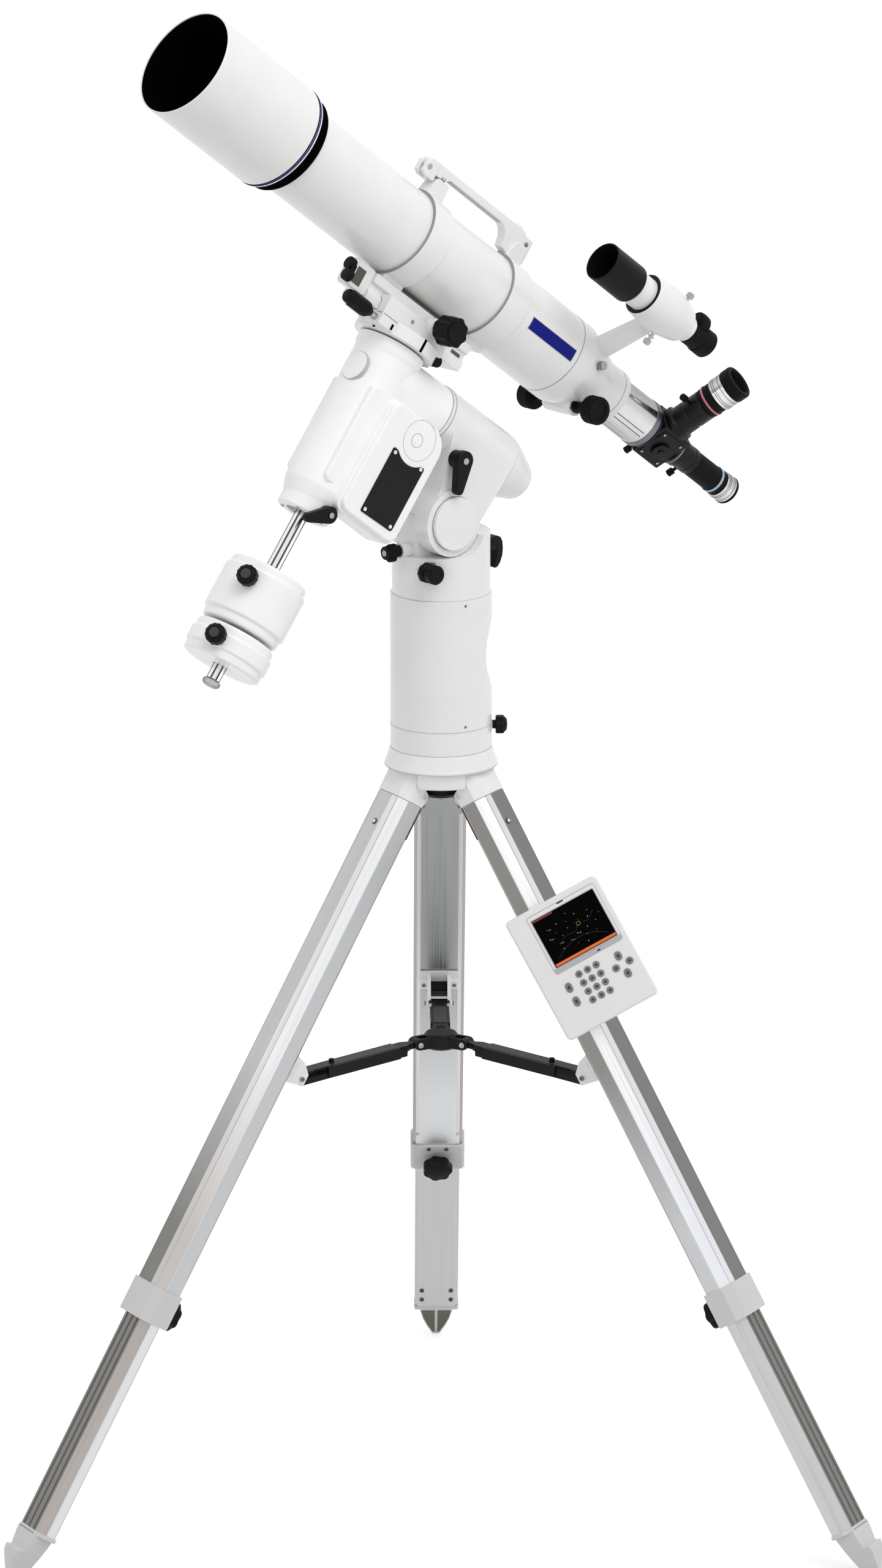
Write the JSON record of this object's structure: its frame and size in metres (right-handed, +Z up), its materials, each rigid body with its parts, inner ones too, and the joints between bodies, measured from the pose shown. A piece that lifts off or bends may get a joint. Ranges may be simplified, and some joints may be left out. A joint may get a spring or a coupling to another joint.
{
  "type": "telescope on tripod",
  "caption": "Refractor telescope on an equatorial mount with counterweights, pillar, folding tripod with telescoping legs, and a hand controller.",
  "frame": {"origin": "centre of the bounding box at floor level", "axes": "+Z up; +Y away from the viewer, along the rear leg; +X to the right"},
  "size_m": [1.2298, 1.0704, 2.1658],
  "materials": {
    "white_paint": "white powder coat on cast or turned aluminium",
    "white_iron": "white enamel on iron",
    "white_plastic": "matt moulded",
    "silver_tube": "satin anodised",
    "black_plastic": "moulded",
    "black_rubber": "ribbed",
    "black_paint": "black anodised or painted",
    "bright_metal": "polished",
    "grey_metal": "turned",
    "glass": "coated lens"
  },
  "bodies": {
    "stand": {"tripod_head": "white_paint", "pillar": "white_paint"},
    "pillar_screw": {"pillar_knob": "black_plastic"},
    "leg_left": {"leg_casting_left": "white_paint", "upper_leg_left": "silver_tube", "spreader_bracket_left": "white_paint"},
    "foot_leg_left": {"lower_leg_left": "silver_tube"},
    "leg_screw_left": {"leg_clamp_knob_left": "black_plastic"},
    "leg_right": {"leg_casting_right": "white_paint", "upper_leg_right": "silver_tube", "spreader_bracket_right": "white_paint", "controller_holder": "black_plastic"},
    "foot_leg_right": {"lower_leg_right": "silver_tube"},
    "leg_screw_right": {"leg_clamp_knob_right": "black_plastic"},
    "leg_rear": {"leg_casting_rear": "white_paint", "upper_leg_rear": "silver_tube", "spreader_bracket_rear": "white_paint"},
    "foot_leg_rear": {"lower_leg_rear": "silver_tube"},
    "leg_screw_rear": {"leg_clamp_knob_rear": "black_plastic"},
    "spreader": {"spreader_hub": "black_paint"},
    "arm_rear": {"spreader_arm_rear": "black_paint"},
    "arm_left": {"spreader_arm_left": "black_paint"},
    "arm_right": {"spreader_arm_right": "black_paint"},
    "mount_base": {"azimuth_base": "white_paint"},
    "azimuth_screw": {"azimuth_knob": "black_plastic"},
    "altitude_screw": {"altitude_knob": "black_plastic"},
    "altitude_lever": {"altitude_lever": "black_plastic"},
    "polar_body": {"ra_housing": "white_paint"},
    "ra_clamp": {"ra_clamp_lever": "black_plastic"},
    "polar_cover": {"polar_scope_cover": "white_paint"},
    "dec_body": {"ra_shaft": "grey_metal", "dec_housing": "white_paint"},
    "dec_clamp": {"dec_clamp_lever": "black_plastic"},
    "dec_axle": {"dec_shaft": "grey_metal", "saddle": "white_paint"},
    "counterweight_rod": {"counterweight_bar": "bright_metal"},
    "bar_stop": {"counterweight_bar_stop": "bright_metal"},
    "weight_large": {"counterweight_large": "white_iron"},
    "weight_small": {"counterweight_small": "white_iron"},
    "weight_screw_large": {"counterweight_knob_large": "black_plastic"},
    "weight_screw_small": {"counterweight_knob_small": "black_plastic"},
    "saddle_clamp": {"saddle_clamp_knob": "black_plastic"},
    "saddle_lock": {"saddle_lock_knob": "black_plastic"},
    "rings": {"dovetail_bar": "white_paint", "tube_ring_front": "white_paint", "tube_ring_rear": "white_paint", "carry_handle": "white_paint"},
    "tube": {"main_tube": "white_paint", "dew_shield": "white_paint", "objective_cell": "black_paint", "objective_lens": "glass", "focuser_body": "white_paint", "finder_bracket": "white_paint", "finder_scope": "white_paint"},
    "focus": {"focus_knobs": "black_rubber"},
    "drawtube": {"draw_tube": "bright_metal", "flip_mirror_box": "black_paint"},
    "rear_eyepiece": {"eyepiece_rear": "black_rubber"},
    "top_eyepiece": {"eyepiece_top": "black_rubber"},
    "controller": {"hand_controller": "white_plastic"}
  },
  "joints": [
    {"name": "pillar_screw_turn", "type": "hinge", "parent": "stand", "child": "pillar_screw", "pos_m": [0.071, -0.1657, 1.1325], "axis": [1, 0, 0], "range_deg": [-90, 90]},
    {"name": "leg_fold_rear", "type": "hinge", "parent": "stand", "child": "leg_rear", "pos_m": [0, -0.1217, 1.036], "axis": [1, 0, 0], "range_deg": [-27, 0]},
    {"name": "leg_fold_left", "type": "hinge", "parent": "stand", "child": "leg_left", "pos_m": [-0.0381, -0.1877, 1.036], "axis": [-0.5, 0.866, 0], "range_deg": [-27, 0]},
    {"name": "leg_fold_right", "type": "hinge", "parent": "stand", "child": "leg_right", "pos_m": [0.0381, -0.1877, 1.036], "axis": [-0.5, -0.866, 0], "range_deg": [-27, 0]},
    {"name": "leg_slide_rear", "type": "slide", "parent": "leg_rear", "child": "foot_leg_rear", "axis": [0, 0.5149, -0.8573], "range_m": [-0.24, 0.18]},
    {"name": "leg_screw_turn_rear", "type": "hinge", "parent": "leg_rear", "child": "leg_screw_rear", "pos_m": [0, 0.28832, 0.34905], "axis": [0, 0.8573, 0.5149], "range_deg": [-90, 90]},
    {"name": "leg_slide_left", "type": "slide", "parent": "leg_left", "child": "foot_leg_left", "axis": [-0.4459, -0.2574, -0.8573], "range_m": [-0.24, 0.18]},
    {"name": "leg_screw_turn_left", "type": "hinge", "parent": "leg_left", "child": "leg_screw_left", "pos_m": [-0.39319, -0.3927, 0.34905], "axis": [-0.7424, -0.4286, 0.5149], "range_deg": [-90, 90]},
    {"name": "leg_slide_right", "type": "slide", "parent": "leg_right", "child": "foot_leg_right", "axis": [0.4459, -0.2574, -0.8573], "range_m": [-0.24, 0.18]},
    {"name": "leg_screw_turn_right", "type": "hinge", "parent": "leg_right", "child": "leg_screw_right", "pos_m": [0.39319, -0.3927, 0.34905], "axis": [0.7424, -0.4286, 0.5149], "range_deg": [-90, 90]},
    {"name": "hub_slide", "type": "slide", "parent": "stand", "child": "spreader", "axis": [0, 0, 1], "range_m": [-0.005, 0.14]},
    {"name": "arm_fold_rear", "type": "hinge", "parent": "spreader", "child": "arm_rear", "pos_m": [0, -0.1257, 0.674], "axis": [1, 0, 0], "range_deg": [-84.5, 0.5]},
    {"name": "arm_fold_left", "type": "hinge", "parent": "spreader", "child": "arm_left", "pos_m": [-0.03464, -0.1857, 0.674], "axis": [-0.5, 0.866, 0], "range_deg": [-84.5, 0.5]},
    {"name": "arm_fold_right", "type": "hinge", "parent": "spreader", "child": "arm_right", "pos_m": [0.03464, -0.1857, 0.674], "axis": [-0.5, -0.866, 0], "range_deg": [-84.5, 0.5]},
    {"name": "azimuth_turn", "type": "hinge", "parent": "stand", "child": "mount_base", "pos_m": [0, -0.1657, 0], "axis": [0, 0, 1], "range_deg": [-7, 7]},
    {"name": "azimuth_screw_turn", "type": "hinge", "parent": "mount_base", "child": "azimuth_screw", "pos_m": [-0.02442, -0.23329, 1.366], "axis": [-0.6186, 0.7857, 0], "range_deg": [-90, 90]},
    {"name": "altitude_screw_turn", "type": "hinge", "parent": "mount_base", "child": "altitude_screw", "pos_m": [-0.05854, -0.21178, 1.391], "axis": [-0.7857, -0.6186, 0], "range_deg": [-90, 90]},
    {"name": "altitude_lever_turn", "type": "hinge", "parent": "mount_base", "child": "altitude_lever", "pos_m": [0.05382, -0.12332, 1.384], "axis": [0.7857, 0.6186, 0], "range_deg": [-45, 45]},
    {"name": "latitude_tilt", "type": "hinge", "parent": "mount_base", "child": "polar_body", "pos_m": [-0.01493, -0.17745, 1.431], "axis": [-0.6186, 0.7857, 0], "range_deg": [-12, 10]},
    {"name": "ra_clamp_turn", "type": "hinge", "parent": "polar_body", "child": "ra_clamp", "pos_m": [0.02233, -0.2143, 1.52035], "axis": [-0.6186, 0.7857, 0], "range_deg": [-25, 25]},
    {"name": "polar_cover_turn", "type": "hinge", "parent": "polar_body", "child": "polar_cover", "pos_m": [0.07051, -0.11019, 1.49313], "axis": [-0.6318, -0.4974, 0.5945], "range_deg": [-90, 90]},
    {"name": "right_ascension_turn", "type": "hinge", "parent": "polar_body", "child": "dec_body", "pos_m": [-0.08871, -0.23554, 1.64294], "axis": [-0.6318, -0.4974, 0.5945], "range_deg": [-90, 90]},
    {"name": "dec_clamp_turn", "type": "hinge", "parent": "dec_body", "child": "dec_clamp", "pos_m": [-0.16006, -0.3407, 1.47237], "axis": [-0.6186, 0.7857, 0], "range_deg": [-25, 25]},
    {"name": "declination_turn", "type": "hinge", "parent": "dec_body", "child": "dec_axle", "pos_m": [-0.00518, -0.16977, 1.78675], "axis": [0.4671, 0.3677, 0.8041], "range_deg": [-130, 150]},
    {"name": "counterweight_bar_slide", "type": "slide", "parent": "dec_axle", "child": "counterweight_rod", "axis": [-0.4671, -0.3677, -0.8041], "range_m": [-0.055, 0]},
    {"name": "bar_stop_turn", "type": "hinge", "parent": "counterweight_rod", "child": "bar_stop", "pos_m": [-0.00518, -0.16977, 1.78675], "axis": [0.4671, 0.3677, 0.8041], "range_deg": [-90, 90]},
    {"name": "weight_large_slide", "type": "slide", "parent": "counterweight_rod", "child": "weight_large", "axis": [0.4671, 0.3677, 0.8041], "range_m": [0, 0.055]},
    {"name": "weight_small_slide", "type": "slide", "parent": "counterweight_rod", "child": "weight_small", "axis": [0.4671, 0.3677, 0.8041], "range_m": [-0.014, 0]},
    {"name": "weight_screw_turn_large", "type": "hinge", "parent": "weight_large", "child": "weight_screw_large", "pos_m": [-0.24806, -0.36098, 1.36861], "axis": [-0.223, -0.831, 0.5095], "range_deg": [-90, 90]},
    {"name": "weight_screw_turn_small", "type": "hinge", "parent": "weight_small", "child": "weight_screw_small", "pos_m": [-0.29056, -0.39444, 1.29543], "axis": [-0.223, -0.831, 0.5095], "range_deg": [-90, 90]},
    {"name": "saddle_clamp_turn", "type": "hinge", "parent": "dec_axle", "child": "saddle_clamp", "pos_m": [-0.03208, -0.19095, 1.70512], "axis": [-0.6186, 0.7857, 0], "range_deg": [-90, 90]},
    {"name": "saddle_lock_turn", "type": "hinge", "parent": "dec_axle", "child": "saddle_lock", "pos_m": [-0.09021, -0.27617, 1.73184], "axis": [-0.6318, -0.4974, 0.5945], "range_deg": [-90, 90]},
    {"name": "balance_slide", "type": "slide", "parent": "dec_axle", "child": "rings", "axis": [-0.6318, -0.4974, 0.5945], "range_m": [-0.03, 0.03]},
    {"name": "tube_turn_in_rings", "type": "hinge", "parent": "rings", "child": "tube", "pos_m": [-0.00518, -0.16977, 1.78675], "axis": [-0.6318, -0.4974, 0.5945], "range_deg": [-60, 90]},
    {"name": "focus_turn", "type": "hinge", "parent": "tube", "child": "focus", "pos_m": [0.1719, -0.03037, 1.56171], "axis": [-0.6186, 0.7857, 0], "range_deg": [-400, 280]},
    {"name": "drawtube_slide", "type": "slide", "parent": "tube", "child": "drawtube", "axis": [0.6318, 0.4974, -0.5945], "range_m": [-0.0709, 0.0496]},
    {"name": "rear_eyepiece_pull", "type": "slide", "parent": "drawtube", "child": "rear_eyepiece", "axis": [0.6318, 0.4974, -0.5945], "range_m": [0, 0.03]},
    {"name": "top_eyepiece_pull", "type": "slide", "parent": "drawtube", "child": "top_eyepiece", "axis": [0.761, -0.2525, 0.5976], "range_m": [0, 0.03]},
    {"name": "controller_lift", "type": "slide", "parent": "leg_right", "child": "controller", "axis": [-0.4787, 0.2183, 0.8504], "range_m": [0, 0.05]}
  ],
  "couplings": [
    {"joint": "leg_fold_left", "follows": "leg_fold_rear", "ratio": 1},
    {"joint": "leg_fold_right", "follows": "leg_fold_rear", "ratio": 1},
    {"joint": "hub_slide", "follows": "leg_fold_rear", "m_per_rad": -0.2836},
    {"joint": "arm_fold_rear", "follows": "leg_fold_rear", "ratio": 3.125},
    {"joint": "arm_fold_left", "follows": "leg_fold_rear", "ratio": 3.125},
    {"joint": "arm_fold_right", "follows": "leg_fold_rear", "ratio": 3.125},
    {"joint": "focus_turn", "follows": "drawtube_slide", "rad_per_m": 98.425}
  ]
}
